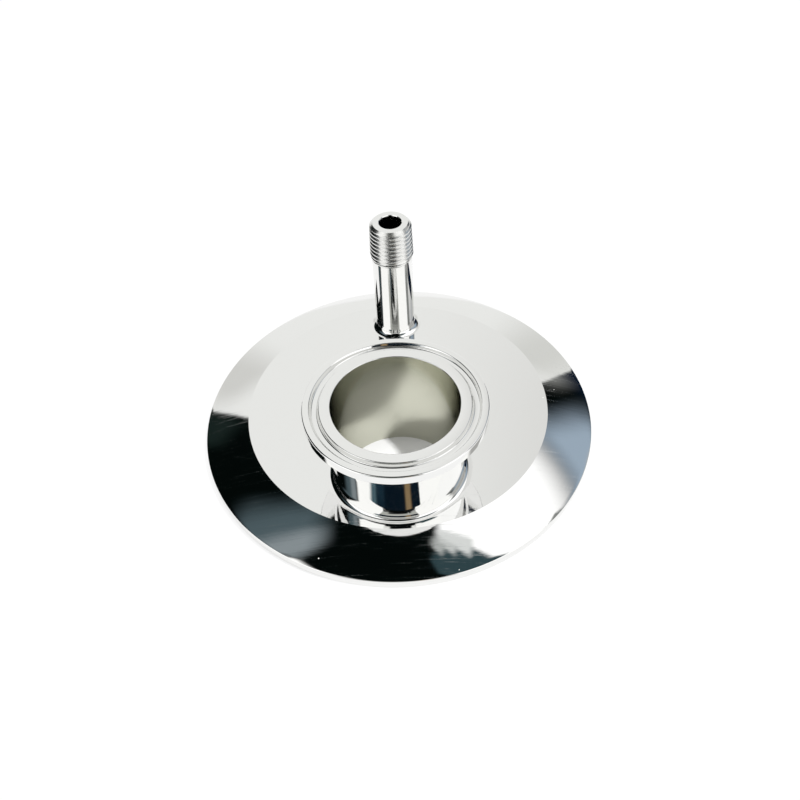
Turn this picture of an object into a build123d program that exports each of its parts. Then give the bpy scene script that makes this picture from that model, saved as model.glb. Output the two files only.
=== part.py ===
from build123d import *
from math import radians, tan
import os

os.makedirs("parts", exist_ok=True)

# Sanitary clamp end cap that carries a clamp ferrule and a tapered-thread nipple.
# The origin is the centre of the sealing face, which is also the face the cap rests on.
# +Z points up through the flat top, and the nipple stands towards +Y.

# Sizes shared by both clamp faces
clamp_angle = 20.0
groove_width = 3.05
groove_depth = 1.2
groove_floor = 1.4
edge_break = 0.3
groove_break = 0.15

# End cap plate
plate_od = 119.0
plate_slope_run = 13.65
plate_rim = 2.85
plate_land = 2.8

# Clamp ferrule
ferrule_od = 38.1
ferrule_wall = 1.5
ferrule_height = 27.0
ferrule_margin = 2.9
flange_od = 50.5
flange_rim = 2.85
flange_relief = 1.2
flange_land = 1.8
bore_break = 0.2

# Threaded nipple
nipple_od = 12.7
nipple_bore = 6.8
nipple_height = 41.0
nipple_margin = 1.9
thread_end_d = 12.9
thread_taper = 1 / 16
thread_length = 11.2
thread_chamfer = 1.0
runout_length = 1.6

# Welds and fits
ferrule_weld_rise = 1.3
ferrule_weld_reach = 2.3
nipple_weld_rise = 1.1
nipple_weld_reach = 1.5
tube_fit = 0.05

# Heights and radii that follow from the sizes above
clamp_slope = tan(radians(clamp_angle))
plate_r = plate_od / 2
flat_r = plate_r - plate_slope_run
plate_top = plate_rim + plate_slope_run * clamp_slope
plate_groove_r = plate_r - plate_land - groove_width / 2

ferrule_r = ferrule_od / 2
ferrule_bore_r = ferrule_r - ferrule_wall
ferrule_offset = flat_r - ferrule_r - ferrule_margin
flange_r = flange_od / 2
ferrule_top = plate_top + ferrule_height
flange_root = ferrule_top - flange_rim - (flange_r - ferrule_r) * clamp_slope
flange_groove_r = flange_r - flange_land - groove_width / 2
flange_under = ferrule_top - flange_rim

nipple_r = nipple_od / 2
nipple_offset = flat_r - nipple_r - nipple_margin
nipple_top = plate_top + nipple_height
thread_start = nipple_top - thread_length
thread_end_r = thread_end_d / 2
thread_start_r = thread_end_r + thread_length * thread_taper / 2
chamfer_foot_r = thread_end_r + thread_chamfer * thread_taper / 2
runout_foot = thread_start - runout_length

ferrule_foot = (0, -ferrule_offset, 0)
nipple_foot = (0, nipple_offset, 0)
ferrule_axis = Axis(ferrule_foot, (0, 0, 1))
nipple_axis = Axis(nipple_foot, (0, 0, 1))
ferrule_section = Plane(origin=ferrule_foot, x_dir=(1, 0, 0), z_dir=(0, -1, 0))
nipple_section = Plane(origin=nipple_foot, x_dir=(1, 0, 0), z_dir=(0, -1, 0))


def groove_section(groove_r, face_height, inward):
    """A gasket groove with broken rims. inward is 1 or -1, into the metal along Z."""
    mouth = groove_width / 2
    rim_height = face_height + inward * groove_break
    floor_height = face_height + inward * groove_depth
    Polygon(
        (groove_r - mouth - groove_break, face_height),
        (groove_r + mouth + groove_break, face_height),
        (groove_r + mouth, rim_height),
        (groove_r + groove_floor / 2, floor_height),
        (groove_r - groove_floor / 2, floor_height),
        (groove_r - mouth, rim_height),
        align=None,
    )


# End cap plate: a turned disc with a flat top, a clamp slope down to its rim,
# a gasket groove in its sealing face and a hole for each tube.
with BuildPart() as end_cap_plate:
    with BuildSketch(Plane.XZ):
        with BuildLine():
            Polyline(
                (0, 0),
                (plate_r - edge_break, 0),
                (plate_r, edge_break),
                (plate_r, plate_rim - edge_break),
                (plate_r - edge_break, plate_rim + edge_break * clamp_slope),
                (flat_r, plate_top),
                (0, plate_top),
                close=True,
            )
        make_face()
    revolve(axis=Axis.Z)
    with BuildSketch(Plane.XZ):
        groove_section(plate_groove_r, 0, 1)
    revolve(axis=Axis.Z, mode=Mode.SUBTRACT)
    with BuildSketch(Plane.XY):
        with Locations(ferrule_foot):
            Circle(ferrule_r + tube_fit)
        with Locations(nipple_foot):
            Circle(nipple_r + tube_fit)
    extrude(amount=plate_top, mode=Mode.SUBTRACT)

# Ferrule: a tube through the plate, flush with the sealing face, with a clamp flange
# on its upper end. The flange has the same slope and gasket groove as the plate.
with BuildPart() as ferrule:
    with BuildSketch(ferrule_section):
        with BuildLine():
            Polyline(
                (ferrule_bore_r + bore_break, 0),
                (ferrule_r, 0),
                (ferrule_r, flange_root - flange_relief),
                (ferrule_r + flange_relief, flange_root + flange_relief * clamp_slope),
                (flange_r - edge_break, flange_under - edge_break * clamp_slope),
                (flange_r, flange_under + edge_break),
                (flange_r, ferrule_top - edge_break),
                (flange_r - edge_break, ferrule_top),
                (ferrule_bore_r + bore_break, ferrule_top),
                (ferrule_bore_r, ferrule_top - bore_break),
                (ferrule_bore_r, bore_break),
                close=True,
            )
        make_face()
    revolve(axis=ferrule_axis)
    with BuildSketch(ferrule_section):
        groove_section(flange_groove_r, ferrule_top, -1)
    revolve(axis=ferrule_axis, mode=Mode.SUBTRACT)

# Threaded nipple: a tube through the plate whose upper end swells into the blank of
# a tapered pipe thread, drawn at the crests, with a chamfered mouth and a run-out below.
with BuildPart() as threaded_nipple:
    with BuildSketch(nipple_section):
        with BuildLine():
            Polyline(
                (nipple_bore / 2, 0),
                (nipple_r, 0),
                (nipple_r, runout_foot),
                (thread_start_r, thread_start),
                (chamfer_foot_r, nipple_top - thread_chamfer),
                (thread_end_r - thread_chamfer, nipple_top),
                (nipple_bore / 2, nipple_top),
                close=True,
            )
        make_face()
    revolve(axis=nipple_axis)


# Weld beads: dressed fillets round the foot of each tube, on the flat top.
with BuildPart() as ferrule_weld_bead:
    with BuildSketch(ferrule_section):
        with BuildLine():
            Polyline(
                (ferrule_r, plate_top),
                (ferrule_r + ferrule_weld_reach, plate_top),
                (ferrule_r, plate_top + ferrule_weld_rise),
                close=True,
            )
        make_face()
    revolve(axis=ferrule_axis)

with BuildPart() as nipple_weld_bead:
    with BuildSketch(nipple_section):
        with BuildLine():
            Polyline(
                (nipple_r, plate_top),
                (nipple_r + nipple_weld_reach, plate_top),
                (nipple_r, plate_top + nipple_weld_rise),
                close=True,
            )
        make_face()
    revolve(axis=nipple_axis)

end_cap_plate.part.label = "end_cap_plate"
export_step(end_cap_plate.part, "parts/end_cap_plate.step")

ferrule.part.label = "ferrule"
export_step(ferrule.part, "parts/ferrule.step")

threaded_nipple.part.label = "threaded_nipple"
export_step(threaded_nipple.part, "parts/threaded_nipple.step")

ferrule_weld_bead.part.label = "ferrule_weld_bead"
export_step(ferrule_weld_bead.part, "parts/ferrule_weld_bead.step")

nipple_weld_bead.part.label = "nipple_weld_bead"
export_step(nipple_weld_bead.part, "parts/nipple_weld_bead.step")
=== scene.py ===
import bpy
from math import atan2, cos, hypot, pi, radians, sin, tan
from mathutils import Matrix, Vector


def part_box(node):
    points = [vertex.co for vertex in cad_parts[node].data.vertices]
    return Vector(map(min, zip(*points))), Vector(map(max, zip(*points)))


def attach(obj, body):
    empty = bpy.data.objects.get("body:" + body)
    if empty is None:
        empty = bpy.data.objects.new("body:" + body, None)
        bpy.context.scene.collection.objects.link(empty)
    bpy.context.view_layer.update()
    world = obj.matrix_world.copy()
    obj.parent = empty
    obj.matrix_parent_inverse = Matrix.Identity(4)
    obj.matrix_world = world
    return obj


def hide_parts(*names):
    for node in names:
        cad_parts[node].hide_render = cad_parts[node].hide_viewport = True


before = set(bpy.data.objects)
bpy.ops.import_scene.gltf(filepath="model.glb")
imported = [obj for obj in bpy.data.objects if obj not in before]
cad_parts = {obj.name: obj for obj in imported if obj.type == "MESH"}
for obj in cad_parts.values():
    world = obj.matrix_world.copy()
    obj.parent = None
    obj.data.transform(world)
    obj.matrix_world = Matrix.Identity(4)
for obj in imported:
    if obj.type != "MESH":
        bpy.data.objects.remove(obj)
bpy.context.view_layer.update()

# Everything below is in metres, in the frame's own axes: the cap rests on z = 0,
# the ferrule stands towards -Y and the nipple towards +Y.

shared = {
    "pointSize": 0.001,  # throwaway plane that is merged into the first point of a profile
    "mergeDistance": 0.000002,
    "arcStep": 9,  # degrees of a small rounding to one edge
    "clampAngle": 20,
    "margin": 0.00001,
    "inch": 0.0254,
}


def deselectAll():
    if bpy.context.object and bpy.context.object.mode != "OBJECT":
        bpy.ops.object.mode_set(mode="OBJECT")
    bpy.ops.object.select_all(action="DESELECT")


def roundedOutline(corners):
    # corners are (distance from the axis, height, rounding), each rounding becomes a small arc
    points = []
    for index, (x, z, rounding) in enumerate(corners):
        here = Vector((x, z))
        if rounding == 0:
            points.append(tuple(here))
            continue
        before = (Vector(corners[index - 1][:2]) - here).normalized()
        after = (Vector(corners[(index + 1) % len(corners)][:2]) - here).normalized()
        half = before.angle(after) / 2
        middle = here + (before + after).normalized() * rounding / sin(half)
        start = here + before * rounding / tan(half) - middle
        end = here + after * rounding / tan(half) - middle
        first = atan2(start.y, start.x)
        turn = (atan2(end.y, end.x) - first + pi) % (2 * pi) - pi
        steps = max(3, round(abs(turn) / radians(shared["arcStep"])))
        for step in range(steps + 1):
            angle = first + turn * step / steps
            points.append((middle.x + rounding * cos(angle), middle.y + rounding * sin(angle)))
    return points


def turnedPiece(name, axisPoint, outline, steps, closed=True):
    # one point is walked along the outline by extruding, then spun round the axis
    deselectAll()
    x, y = axisPoint
    first = outline[0]
    bpy.ops.mesh.primitive_plane_add(size=shared["pointSize"], location=(x + first[0], y, first[1]))
    piece = bpy.context.object
    piece.name = name
    piece.data.name = name
    bpy.ops.object.mode_set(mode="EDIT")
    bpy.ops.mesh.select_all(action="SELECT")
    bpy.ops.mesh.merge(type="CENTER")
    path = outline[1:] + ([first] if closed else [])
    here = first
    for point in path:
        move = (point[0] - here[0], 0, point[1] - here[1])
        bpy.ops.mesh.extrude_region_move(TRANSFORM_OT_translate={"value": move})
        here = point
    bpy.ops.mesh.select_all(action="SELECT")
    bpy.ops.mesh.spin(steps=steps, angle=2 * pi, center=(x, y, 0), axis=(0, 0, 1))
    bpy.ops.mesh.select_all(action="SELECT")
    bpy.ops.mesh.remove_doubles(threshold=shared["mergeDistance"])
    bpy.ops.mesh.normals_make_consistent(inside=False)
    bpy.ops.object.mode_set(mode="OBJECT")
    bpy.ops.object.transform_apply(location=True, rotation=True, scale=True)
    return piece


def smoothPiece(piece, angle):
    deselectAll()
    piece.select_set(True)
    bpy.context.view_layer.objects.active = piece
    bpy.ops.object.shade_smooth_by_angle(angle=radians(angle))


def applyModifier(piece, kind, **settings):
    deselectAll()
    piece.select_set(True)
    bpy.context.view_layer.objects.active = piece
    modifier = piece.modifiers.new(kind.title(), kind)
    for key, value in settings.items():
        setattr(modifier, key, value)
    bpy.ops.object.modifier_apply(modifier=modifier.name)


def axisOf(node):
    low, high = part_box(node)
    return ((low[0] + high[0]) / 2, (low[1] + high[1]) / 2)


ferruleAxis = axisOf("ferrule")
nippleAxis = axisOf("threaded_nipple")
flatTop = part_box("end_cap_plate")[1][2]
clampSlope = tan(radians(shared["clampAngle"]))

groove = {"halfWidth": 0.00133, "depth": 0.0012, "wallAngle": 64, "lip": 0.0003, "corner": 0.0005}


def grooveCorners(centre, face, inward):
    # gasket groove in section with leaning walls, from its inner lip to its outer lip
    wide = groove["halfWidth"]
    narrow = wide - groove["depth"] / tan(radians(groove["wallAngle"]))
    bottom = face + inward * groove["depth"]
    return [
        (centre - wide, face, groove["lip"]),
        (centre - narrow, bottom, groove["corner"]),
        (centre + narrow, bottom, groove["corner"]),
        (centre + wide, face, groove["lip"]),
    ]


steelTint = (0.86, 0.86, 0.85, 1)
polish = {
    "waveScale": 60,
    "waveHeight": 0.00005,
    "buffAngle": -38,
    "buffStretch": (55, 900, 55),
    "buffHeight": 0.000004,
    "ringScale": 2600,
    "ringHeight": 0.000006,
    "cloudScale": 70,
    "hairAngles": (17, 74, 131),
    "hairStretch": (60, 5200, 60),
    "hairRange": (0.67, 0.76),  # how rare the hairlines are
    "speckScale": 210,
    "speckSize": 0.035,
    "speckColour": (0.75, 0.75, 0.72, 1),
}


def addNode(material, kind, **settings):
    node = material.node_tree.nodes.new("ShaderNode" + kind)
    for key, value in settings.items():
        setattr(node, key, value)
    return node


def hairlines(material, vector, angle, amount):
    # sparse straight scratches, from noise stretched along one direction
    links = material.node_tree.links
    turned = addNode(material, "Mapping")
    turned.inputs["Rotation"].default_value = (0, 0, radians(angle))
    turned.inputs["Scale"].default_value = polish["hairStretch"]
    links.new(vector, turned.inputs["Vector"])
    noise = addNode(material, "TexNoise")
    noise.inputs["Scale"].default_value = 1
    noise.inputs["Detail"].default_value = 1
    links.new(turned.outputs["Vector"], noise.inputs["Vector"])
    peak = addNode(material, "MapRange")
    peak.inputs["From Min"].default_value = polish["hairRange"][0]
    peak.inputs["From Max"].default_value = polish["hairRange"][1]
    peak.inputs["To Max"].default_value = amount
    links.new(noise.outputs["Fac"], peak.inputs["Value"])
    return peak.outputs["Result"]


def steelMaterial(name, centre, roughness, wear, tint=steelTint, edgeTint=(1, 1, 1, 1)):
    # polished metal: turning marks round one axis, an uneven buff, hairlines and a little dust
    material = bpy.data.materials.new(name)
    material.use_nodes = True
    shader = material.node_tree.nodes["Principled BSDF"]
    # a dark edge tint is painted shade: it darkens the metal where it is seen at a grazing angle
    shader.inputs["Specular Tint"].default_value = edgeTint
    links = material.node_tree.links
    place = addNode(material, "TexCoord")
    centred = addNode(material, "Mapping")
    centred.inputs["Location"].default_value = (-centre[0], -centre[1], 0)
    links.new(place.outputs["Object"], centred.inputs["Vector"])

    # the distance from the axis gives the turning marks
    split = addNode(material, "SeparateXYZ")
    links.new(centred.outputs["Vector"], split.inputs["Vector"])
    flat = addNode(material, "CombineXYZ")
    links.new(split.outputs["X"], flat.inputs["X"])
    links.new(split.outputs["Y"], flat.inputs["Y"])
    reach = addNode(material, "VectorMath", operation="LENGTH")
    links.new(flat.outputs["Vector"], reach.inputs[0])
    ringCoord = addNode(material, "CombineXYZ")
    links.new(reach.outputs["Value"], ringCoord.inputs["X"])
    links.new(split.outputs["Z"], ringCoord.inputs["Y"])
    rings = addNode(material, "TexNoise")
    rings.inputs["Scale"].default_value = polish["ringScale"]
    rings.inputs["Detail"].default_value = 3
    links.new(ringCoord.outputs["Vector"], rings.inputs["Vector"])

    # cloudy gloss, rougher where the hairlines run
    cloud = addNode(material, "TexNoise")
    cloud.inputs["Scale"].default_value = polish["cloudScale"]
    cloud.inputs["Detail"].default_value = 4
    links.new(centred.outputs["Vector"], cloud.inputs["Vector"])
    gloss = addNode(material, "MapRange")
    gloss.inputs["To Min"].default_value = roughness[0]
    gloss.inputs["To Max"].default_value = roughness[1]
    links.new(cloud.outputs["Fac"], gloss.inputs["Value"])
    scuffed = gloss.outputs["Result"]
    for angle in polish["hairAngles"]:
        total = addNode(material, "Math", operation="ADD")
        links.new(scuffed, total.inputs[0])
        scratch = hairlines(material, place.outputs["Object"], angle, wear["hairlines"])
        links.new(scratch, total.inputs[1])
        scuffed = total.outputs["Value"]
    links.new(scuffed, shader.inputs["Roughness"])

    # soft waves and strokes left by the buffing wheel, under the turning marks
    waves = addNode(material, "TexNoise")
    waves.inputs["Scale"].default_value = polish["waveScale"]
    waves.inputs["Detail"].default_value = 1
    links.new(place.outputs["Object"], waves.inputs["Vector"])
    waveBump = addNode(material, "Bump")
    waveBump.inputs["Strength"].default_value = wear["waves"]
    waveBump.inputs["Distance"].default_value = polish["waveHeight"]
    links.new(waves.outputs["Fac"], waveBump.inputs["Height"])
    buffing = addNode(material, "Mapping")
    buffing.inputs["Rotation"].default_value = (0, 0, radians(polish["buffAngle"]))
    buffing.inputs["Scale"].default_value = polish["buffStretch"]
    links.new(place.outputs["Object"], buffing.inputs["Vector"])
    strokes = addNode(material, "TexNoise")
    strokes.inputs["Scale"].default_value = 1
    strokes.inputs["Detail"].default_value = 3
    links.new(buffing.outputs["Vector"], strokes.inputs["Vector"])
    strokeBump = addNode(material, "Bump")
    strokeBump.inputs["Strength"].default_value = wear["buff"]
    strokeBump.inputs["Distance"].default_value = polish["buffHeight"]
    links.new(strokes.outputs["Fac"], strokeBump.inputs["Height"])
    links.new(waveBump.outputs["Normal"], strokeBump.inputs["Normal"])
    ringBump = addNode(material, "Bump")
    ringBump.inputs["Strength"].default_value = wear["rings"]
    ringBump.inputs["Distance"].default_value = polish["ringHeight"]
    links.new(rings.outputs["Fac"], ringBump.inputs["Height"])
    links.new(strokeBump.outputs["Normal"], ringBump.inputs["Normal"])
    links.new(ringBump.outputs["Normal"], shader.inputs["Normal"])

    # a few specks of pale dust, in some of the cells only
    cells = addNode(material, "TexVoronoi")
    cells.inputs["Scale"].default_value = polish["speckScale"]
    links.new(place.outputs["Object"], cells.inputs["Vector"])
    near = addNode(material, "Math", operation="LESS_THAN")
    near.inputs[1].default_value = polish["speckSize"]
    links.new(cells.outputs["Distance"], near.inputs[0])
    chosen = addNode(material, "Math", operation="MULTIPLY")
    links.new(near.outputs["Value"], chosen.inputs[0])
    draw = addNode(material, "Math", operation="LESS_THAN")
    draw.inputs[1].default_value = wear["dust"]
    links.new(cells.outputs["Color"], draw.inputs[0])
    links.new(draw.outputs["Value"], chosen.inputs[1])
    dusty = addNode(material, "MixRGB")
    dusty.inputs["Color1"].default_value = tint
    dusty.inputs["Color2"].default_value = polish["speckColour"]
    links.new(chosen.outputs["Value"], dusty.inputs["Fac"])
    links.new(dusty.outputs["Color"], shader.inputs["Base Color"])
    bare = addNode(material, "Math", operation="SUBTRACT")
    bare.inputs[0].default_value = 1.0
    links.new(chosen.outputs["Value"], bare.inputs[1])
    links.new(bare.outputs["Value"], shader.inputs["Metallic"])
    return material


# roughness range, then how strongly each kind of wear shows
plateSteel = steelMaterial(
    "plateSteel", (0, 0), (0.02, 0.05),
    {"rings": 0.25, "waves": 0.8, "buff": 1.0, "hairlines": 0.14, "dust": 0.30},
)
ferruleSteel = steelMaterial(
    "ferruleSteel", ferruleAxis, (0.02, 0.05),
    {"rings": 0.3, "waves": 0.3, "buff": 0.3, "hairlines": 0.06, "dust": 0.22},
)
# the bore is satin; its black edge tint is painted shade that darkens the wall where it is seen at a
# grazing angle
boreSteel = steelMaterial(
    "boreSteel", ferruleAxis, (0.17, 0.25),
    {"rings": 0.6, "waves": 1.0, "buff": 1.0, "hairlines": 0.05, "dust": 0.1},
    tint=(0.62, 0.62, 0.53, 1), edgeTint=(0.0, 0.0, 0.0, 1),
)
nippleSteel = steelMaterial(
    "nippleSteel", nippleAxis, (0.05, 0.09),
    {"rings": 0.4, "waves": 0.3, "buff": 0.3, "hairlines": 0.05, "dust": 0.15},
)
threadSteel = steelMaterial(
    "threadSteel", nippleAxis, (0.20, 0.28),
    {"rings": 0.5, "waves": 0.5, "buff": 0.3, "hairlines": 0.05, "dust": 0.1},
    tint=(0.78, 0.78, 0.765, 1),
)
print("materials ready")


plate = {
    "radius": 0.0595,
    "flatRadius": 0.04585,
    "rimHeight": 0.00285,
    "crown": 0.00014,
    "grooveCentre": 0.055175,
    "rimRound": 0.0003,
    "crownSteps": 12,
    "holeFit": 0.00005,
    "holeSides": 192,
    "cutterLength": 0.03,
    "cutterMiddle": 0.004,
    "steps": 256,
    "smoothAngle": 12,
}


def makePlate():
    rim, flat, low = plate["radius"], plate["flatRadius"], plate["rimHeight"]
    corners = [(0, 0, 0)] + grooveCorners(plate["grooveCentre"], 0, 1)
    corners += [(rim, 0, plate["rimRound"]), (rim, low, plate["rimRound"])]
    # the clamp slope is turned with the slightest crown
    for step in range(1, plate["crownSteps"]):
        share = step / plate["crownSteps"]
        height = low + (flatTop - low) * share + plate["crown"] * 4 * share * (1 - share)
        corners.append((rim + (flat - rim) * share, height, 0))
    corners += [(flat, flatTop, 0), (0, flatTop, 0)]
    outline = roundedOutline(corners)
    piece = turnedPiece("endCapPlate", (0, 0), outline, plate["steps"], closed=False)
    for axisPoint, tube in ((ferruleAxis, ferrule["tubeRadius"]), (nippleAxis, nipple["tubeRadius"])):
        deselectAll()
        bpy.ops.mesh.primitive_cylinder_add(
            vertices=plate["holeSides"], radius=tube + plate["holeFit"],
            depth=plate["cutterLength"], location=(*axisPoint, plate["cutterMiddle"]),
        )
        cutter = bpy.context.object
        applyModifier(piece, "BOOLEAN", operation="DIFFERENCE", object=cutter, solver="EXACT")
        bpy.data.objects.remove(cutter, do_unlink=True)
    piece.data.materials.append(plateSteel)
    smoothPiece(piece, plate["smoothAngle"])
    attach(piece, "root")
    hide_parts("end_cap_plate")
    print("plate done", len(piece.data.polygons))


ferrule = {
    "tubeRadius": 0.01905,
    "boreRadius": 0.01755,
    "flangeRadius": 0.02525,
    "rimHeight": 0.00285,
    "underFillet": 0.0025,
    "grooveCentre": 0.0219,
    "rimRound": 0.00045,
    "footRound": 0.0003,
    "boreRound": 0.0002,
    "steps": 256,
    "smoothAngle": 14,
}


def makeFerrule():
    tube, bore, flange = ferrule["tubeRadius"], ferrule["boreRadius"], ferrule["flangeRadius"]
    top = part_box("ferrule")[1][2]
    lip = ferrule["boreRound"]
    rimFoot = top - ferrule["rimHeight"]
    root = rimFoot - (flange - tube) * clampSlope
    corners = [(bore, 0, 0), (tube, 0, 0), (tube, root, ferrule["underFillet"])]
    corners += [(flange, rimFoot, ferrule["footRound"]), (flange, top, ferrule["rimRound"])]
    corners += list(reversed(grooveCorners(ferrule["grooveCentre"], top, -1)))
    corners += [(bore, top, lip)]
    outline = roundedOutline(corners)
    piece = turnedPiece("clampFerrule", ferruleAxis, outline, ferrule["steps"])
    piece.data.materials.append(ferruleSteel)
    piece.data.materials.append(boreSteel)
    # the wall of the bore takes the satin metal, with its painted shade at grazing angles
    for face in piece.data.polygons:
        middle = face.center
        away = hypot(middle.x - ferruleAxis[0], middle.y - ferruleAxis[1])
        if away < bore + shared["margin"] and middle.z < top - lip:
            face.material_index = 1
    smoothPiece(piece, ferrule["smoothAngle"])
    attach(piece, "root")
    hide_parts("ferrule")
    print("ferrule done", len(piece.data.polygons))


nipple = {
    "tubeRadius": 0.00635,
    "boreRadius": 0.0034,
    "threadLength": 0.0112,
    "threadTopRadius": 0.00645,
    "threadTaper": 1 / 16,
    "threadsPerInch": 18,
    "threadDepth": 0.0006,
    "rootShare": 0.08,  # flat share of each turn in the root
    "flankShare": 0.62,
    "mouthChamfer": 0.001,
    "boreRound": 0.0002,
    "wallMargin": 0.0005,  # thickness of wall that is left to the bore's own metal
    "runOut": 0.0016,
    "rowsPerTurn": 8,
    "steps": 96,
    "smoothAngle": 35,
}


def threadRadius(height, turn, low, high):
    # crest envelope with the run-out below and the chamfered mouth above
    top = nipple["threadTopRadius"]
    base = top + (high - height) * nipple["threadTaper"] / 2
    crest = base
    if height < low + nipple["runOut"]:
        crestLow = top + (high - low - nipple["runOut"]) * nipple["threadTaper"] / 2
        share = (height - low) / nipple["runOut"]
        crest = nipple["tubeRadius"] + (crestLow - nipple["tubeRadius"]) * share
    mouth = top - nipple["mouthChamfer"] + (high - height)
    phase = abs((turn % 1) - 0.5) * 2  # 0 in the root, 1 on the crest
    shape = min(max((phase - nipple["rootShare"]) / nipple["flankShare"], 0), 1)
    cut = base - nipple["threadDepth"] * (1 - shape)
    return min(crest, mouth, cut)


def makeNipple():
    x, y = nippleAxis
    tube, bore = nipple["tubeRadius"], nipple["boreRadius"]
    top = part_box("threaded_nipple")[1][2]
    low = top - nipple["threadLength"] - nipple["runOut"]
    pitch = shared["inch"] / nipple["threadsPerInch"]
    rows = nipple["rowsPerTurn"]

    # threaded length: a chain of points is screwed one turn, then shaped by the helix
    deselectAll()
    bpy.ops.mesh.primitive_plane_add(size=shared["pointSize"], location=(x, y, 0))
    piece = bpy.context.object
    piece.name = "threadedNipple"
    piece.data.name = "threadedNipple"
    bpy.ops.object.mode_set(mode="EDIT")
    bpy.ops.mesh.select_all(action="SELECT")
    bpy.ops.mesh.merge(type="CENTER")
    bpy.ops.transform.translate(value=(tube, 0, low - pitch))
    for _ in range(int((top - low) / pitch * rows) + rows + 2):
        bpy.ops.mesh.extrude_region_move(TRANSFORM_OT_translate={"value": (0, 0, pitch / rows)})
    bpy.ops.object.mode_set(mode="OBJECT")
    applyModifier(
        piece, "SCREW", angle=2 * pi, steps=nipple["steps"], render_steps=nipple["steps"],
        screw_offset=pitch, axis="Z", use_merge_vertices=False,
    )
    for vertex in piece.data.vertices:
        angle = atan2(vertex.co.y, vertex.co.x)
        height = min(max(vertex.co.z, low), top)
        turn = (height - low) / pitch - angle / (2 * pi)
        away = threadRadius(height, turn, low, top)
        vertex.co = (away * cos(angle), away * sin(angle), height)

    # the plain tube below, the end face and the bore
    mouth = nipple["threadTopRadius"] - nipple["mouthChamfer"]
    lip = nipple["boreRound"]
    outline = [(mouth, top), (bore + lip, top), (bore, top - lip), (bore, 0), (tube, 0), (tube, low)]
    rest = turnedPiece("nippleTube", nippleAxis, outline, nipple["steps"], closed=False)
    deselectAll()
    piece.select_set(True)
    bpy.context.view_layer.objects.active = piece
    bpy.ops.object.transform_apply(location=True, rotation=True, scale=True)
    rest.select_set(True)
    bpy.ops.object.join()
    bpy.ops.object.mode_set(mode="EDIT")
    bpy.ops.mesh.select_all(action="SELECT")
    bpy.ops.mesh.remove_doubles(threshold=shared["margin"])
    bpy.ops.mesh.normals_make_consistent(inside=False)
    bpy.ops.object.mode_set(mode="OBJECT")
    piece.data.materials.append(nippleSteel)
    piece.data.materials.append(threadSteel)
    # only the threaded length takes the rougher metal
    for face in piece.data.polygons:
        away = hypot(face.center.x - x, face.center.y - y)
        if low < face.center.z < top - shared["margin"] and away > bore + nipple["wallMargin"]:
            face.material_index = 1
    smoothPiece(piece, nipple["smoothAngle"])
    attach(piece, "root")
    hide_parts("threaded_nipple")
    print("nipple done", len(piece.data.polygons))


weld = {
    "ferrule": {"rise": 0.0009, "reach": 0.00225, "hollow": 1.0},
    "nipple": {"rise": 0.0011, "reach": 0.0021, "hollow": 0.5},
    "faceSteps": 12,
    "steps": 192,
    "smoothAngle": 25,
}


def makeWeld(name, node, axisPoint, tube, size, material):
    # a dressed fillet with a hollow face between the tube and the flat top
    rise, reach, mix = size["rise"], size["reach"], size["hollow"]
    outline = [(tube, flatTop), (tube + reach, flatTop)]
    for step in range(1, weld["faceSteps"] + 1):
        share = step / weld["faceSteps"]
        turn = share * pi / 2
        inward = (1 - share) * (1 - mix) + (1 - sin(turn)) * mix
        upward = share * (1 - mix) + (1 - cos(turn)) * mix
        outline.append((tube + reach * inward, flatTop + rise * upward))
    piece = turnedPiece(name, axisPoint, outline, weld["steps"])
    piece.data.materials.append(material)
    smoothPiece(piece, weld["smoothAngle"])
    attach(piece, "root")
    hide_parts(node)
    print(name, "done", len(piece.data.polygons))


makePlate()
makeFerrule()
makeNipple()
makeWeld(
    "ferruleWeld", "ferrule_weld_bead",
    ferruleAxis, ferrule["tubeRadius"], weld["ferrule"], ferruleSteel,
)
makeWeld(
    "nippleWeld", "nipple_weld_bead",
    nippleAxis, nipple["tubeRadius"], weld["nipple"], nippleSteel,
)


studio = {
    "floorSize": 3.0,
    "floorColour": (0.85, 0.85, 0.85, 1),
    "floorRoughness": 0.9,
    "floorGlow": 0.9,
    "glowStart": 0.057,
    "glowFull": 0.0605,
    "dark": (0.0012, 0.0027, 0.0024, 1),
}

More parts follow.
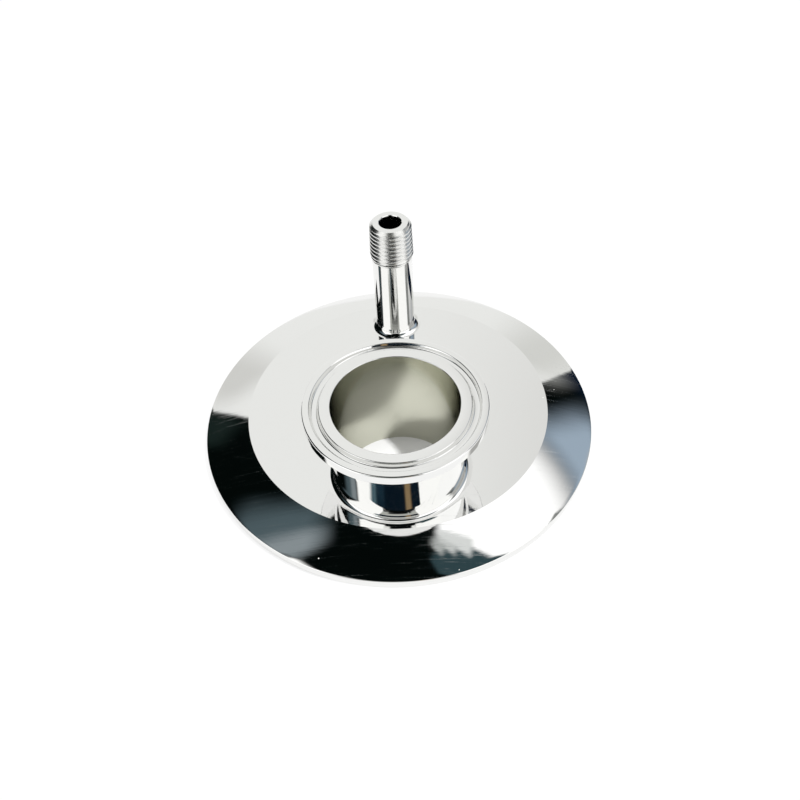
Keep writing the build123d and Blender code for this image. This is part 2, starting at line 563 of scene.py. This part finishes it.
# The surroundings, as soft-edged areas, each over those before it. In degrees: azimuth is 0
# towards +Y and grows towards +X, elevation is above the floor.
# name, azimuth, half width, side softness, lowest, softness, highest, softness, colour
studioZones = [
    ("lowRoom", 0, 200, 1, -90, 5, 9, 5, (0.80, 0.80, 0.78)),
    ("cameraSide", 177.5, 82.5, 6, -20, 6, 61, 6, (1.28, 1.28, 1.27)),
    ("frontGround", 183, 29, 2, -20, 3, 10, 3, (0.50, 0.51, 0.46)),
    ("figure", 183.3, 28.8, 1.5, 11, 2, 34, 2, (0.003, 0.0085, 0.016)),
    ("figureShoulder", 214, 4, 6, 11, 3, 28, 6, (0.07, 0.13, 0.16)),
    ("figureTeal", 205, 5, 6, 11, 3, 22, 6, (0.010, 0.028, 0.045)),
    ("figureBrown", 169.5, 3.5, 4, 11, 3, 34, 3, (0.29, 0.20, 0.105)),
    ("figureGap", 183.3, 28.8, 2, 35, 3, 53.5, 2, (0.50, 0.51, 0.48)),
    ("cameraDark", 183, 29, 2, 55, 2, 66, 3, (0.003, 0.004, 0.004)),
    ("cameraDarkLow", 182, 19, 4, 48, 3, 57, 2, (0.003, 0.004, 0.004)),
    ("backSweep", -4, 39, 1, -20, 6, 66, 6, (0.92, 0.925, 0.91)),
    ("sweepShade", 24, 16, 20, 40, 16, 70, 16, (0.79, 0.79, 0.775)),
    ("sweepLeft", -34, 7, 10, -10, 6, 22, 10, (0.70, 0.70, 0.68)),
    ("sweepRight", 28, 7, 12, -5, 8, 24, 10, (0.72, 0.725, 0.70)),
    ("leftDark", -71, 27, 1, -2, 3, 44, 3, (0.0012, 0.0027, 0.0024)),
    ("leftShoulder", -48, 4, 4, 8, 6, 30, 8, (0.010, 0.018, 0.016)),
    ("leftHaze", -82, 10, 14, 45, 8, 68, 10, (0.08, 0.115, 0.13)),
    ("leftGlow", -91, 6, 9, 52, 8, 68, 10, (0.27, 0.31, 0.33)),
    ("softbox", 73, 34, 6, 45, 14, 81, 3, (1.25, 1.25, 1.25)),
    ("rightBlue", 66.5, 20, 13, 23.5, 13, 42, 9, (0.36, 0.45, 0.55)),
    ("rightDark", 46, 11, 1, -5, 4, 20, 8, (0.002, 0.008, 0.022)),
    ("rightLow", 80, 20, 8, -20, 6, 33, 6, (0.5, 0.5, 0.49)),
    ("rightPost", 87, 9, 3, 41, 3, 50, 1.5, (0.26, 0.27, 0.26)),
    ("topRight", 124, 18, 6, 58, 4, 79.5, 2, (0.032, 0.062, 0.072)),
    ("topRightEdge", 106, 7, 5, 72, 2, 81, 3, (0.76, 0.78, 0.77)),
    ("topRightStep", 115, 4.5, 5, 75.5, 2, 81, 3, (0.62, 0.64, 0.63)),
    ("topRightTip", 122, 6, 6, 78, 2, 81.5, 3, (0.46, 0.48, 0.47)),
]


def nodeMath(tree, operation, first, second=None, third=None):
    node = tree.nodes.new("ShaderNodeMath")
    node.operation = operation
    for socket, value in zip(node.inputs, (first, second, third)):
        if value is None:
            continue
        if isinstance(value, (int, float)):
            socket.default_value = value
        else:
            tree.links.new(value, socket)
    return node.outputs[0]


def softStep(tree, value, start, end):
    # 0 before start, 1 after end, smooth between
    node = tree.nodes.new("ShaderNodeMapRange")
    node.interpolation_type = "SMOOTHSTEP"
    tree.links.new(value, node.inputs["Value"])
    node.inputs["From Min"].default_value = start
    node.inputs["From Max"].default_value = end
    return node.outputs["Result"]


def makeWorld():
    world = bpy.data.worlds.new("softStudio")
    bpy.context.scene.world = world
    world.use_nodes = True
    tree = world.node_tree
    tree.nodes.clear()
    direction = tree.nodes.new("ShaderNodeTexCoord").outputs["Generated"]
    split = tree.nodes.new("ShaderNodeSeparateXYZ")
    tree.links.new(direction, split.inputs["Vector"])
    bearing = nodeMath(tree, "ARCTAN2", split.outputs["X"], split.outputs["Y"])
    azimuth = nodeMath(tree, "DEGREES", bearing)
    elevation = nodeMath(tree, "DEGREES", nodeMath(tree, "ARCSINE", split.outputs["Z"]))
    below = None
    for name, centre, half, soft, lowest, softLow, highest, softHigh, tint in studioZones:
        turned = nodeMath(tree, "WRAP", nodeMath(tree, "SUBTRACT", azimuth, centre), 180, -180)
        aside = nodeMath(tree, "ABSOLUTE", turned)
        inside = nodeMath(tree, "SUBTRACT", 1, softStep(tree, aside, half - soft / 2, half + soft / 2))
        above = softStep(tree, elevation, lowest - softLow / 2, lowest + softLow / 2)
        beyond = softStep(tree, elevation, highest - softHigh / 2, highest + softHigh / 2)
        under = nodeMath(tree, "SUBTRACT", 1, beyond)
        mask = nodeMath(tree, "MULTIPLY", nodeMath(tree, "MULTIPLY", inside, above), under)
        mix = tree.nodes.new("ShaderNodeMix")
        mix.label = name
        mix.data_type = "RGBA"
        tree.links.new(mask, mix.inputs["Factor"])
        mix.inputs["A"].default_value = studio["dark"]
        if below:
            tree.links.new(below, mix.inputs["A"])  # the first area lies on the dark colour
        mix.inputs["B"].default_value = (*tint, 1)
        below = mix.outputs["Result"]
    glow = tree.nodes.new("ShaderNodeBackground")
    tree.links.new(below, glow.inputs["Color"])
    plain = tree.nodes.new("ShaderNodeBackground")
    plain.inputs["Color"].default_value = (1, 1, 1, 1)
    path = tree.nodes.new("ShaderNodeLightPath")
    choose = tree.nodes.new("ShaderNodeMixShader")
    tree.links.new(path.outputs["Is Camera Ray"], choose.inputs["Fac"])
    tree.links.new(glow.outputs["Background"], choose.inputs[1])
    tree.links.new(plain.outputs["Background"], choose.inputs[2])
    out = tree.nodes.new("ShaderNodeOutputWorld")
    tree.links.new(choose.outputs["Shader"], out.inputs["Surface"])


def makeFloor():
    deselectAll()
    bpy.ops.mesh.primitive_plane_add(size=studio["floorSize"], location=(0, 0, 0))
    floor = bpy.context.object
    floor.name = "studioFloor"
    material = bpy.data.materials.new("paleFloor")
    material.use_nodes = True
    tree = material.node_tree
    shader = tree.nodes["Principled BSDF"]
    shader.inputs["Base Color"].default_value = studio["floorColour"]
    shader.inputs["Roughness"].default_value = studio["floorRoughness"]
    shader.inputs["Specular IOR Level"].default_value = 0.0
    glow = tree.nodes.new("ShaderNodeEmission")
    glow.inputs["Color"].default_value = (1, 1, 1, 1)
    glow.inputs["Strength"].default_value = 1.0
    path = tree.nodes.new("ShaderNodeLightPath")
    seen = nodeMath(tree, "MAXIMUM", path.outputs["Is Camera Ray"], path.outputs["Is Glossy Ray"])
    # the glow starts outside the cap, so the floor under it and in its bore keeps its shade
    place = tree.nodes.new("ShaderNodeTexCoord")
    away = tree.nodes.new("ShaderNodeVectorMath")
    away.operation = "LENGTH"
    tree.links.new(place.outputs["Object"], away.inputs[0])
    clear = softStep(tree, away.outputs["Value"], studio["glowStart"], studio["glowFull"])
    share = nodeMath(tree, "MULTIPLY", nodeMath(tree, "MULTIPLY", seen, clear), studio["floorGlow"])
    choose = tree.nodes.new("ShaderNodeMixShader")
    tree.links.new(share, choose.inputs["Fac"])
    tree.links.new(shader.outputs["BSDF"], choose.inputs[1])
    tree.links.new(glow.outputs["Emission"], choose.inputs[2])
    tree.links.new(choose.outputs["Shader"], tree.nodes["Material Output"].inputs["Surface"])
    floor.data.materials.append(material)


lampValues = {
    "keyLamp": {"place": (0.506, -0.145, 1.079), "size": 0.073, "power": 12},
    "fillLamp": {"place": (-0.12, -0.1, 1.3), "size": 0.6, "power": 5},
}


def makeLamp(name):
    values = lampValues[name]
    deselectAll()
    bpy.ops.object.light_add(type="AREA", location=values["place"])
    lamp = bpy.context.object
    lamp.name = name
    lamp.data.shape = "DISK"
    lamp.data.size = values["size"]
    lamp.data.energy = values["power"]
    lamp.rotation_euler = (-lamp.location).to_track_quat("-Z", "Y").to_euler()
    lamp.visible_glossy = False


camera = {
    "place": (0.0045, -0.1822, 0.20735),
    "heading": 1.146,
    "tilt": 42.71,
    "roll": -3.09,
    "lens": 39.44,
    "sensor": 36,
    "clip": (0.01, 20),
}


def makeCamera():
    data = bpy.data.cameras.new("camera")
    data.lens = camera["lens"]
    data.sensor_width = camera["sensor"]
    data.clip_start, data.clip_end = camera["clip"]
    view = bpy.data.objects.new("camera", data)
    bpy.context.scene.collection.objects.link(view)
    view.matrix_world = (
        Matrix.Translation(camera["place"])
        @ Matrix.Rotation(radians(camera["heading"]), 4, "Z")
        @ Matrix.Rotation(radians(camera["tilt"]), 4, "X")
        @ Matrix.Rotation(radians(camera["roll"]), 4, "Z")
    )
    bpy.context.scene.camera = view


makeWorld()
makeFloor()
makeLamp("keyLamp")
makeLamp("fillLamp")
makeCamera()
bpy.context.scene.view_settings.view_transform = "Standard"
print("studio ready")
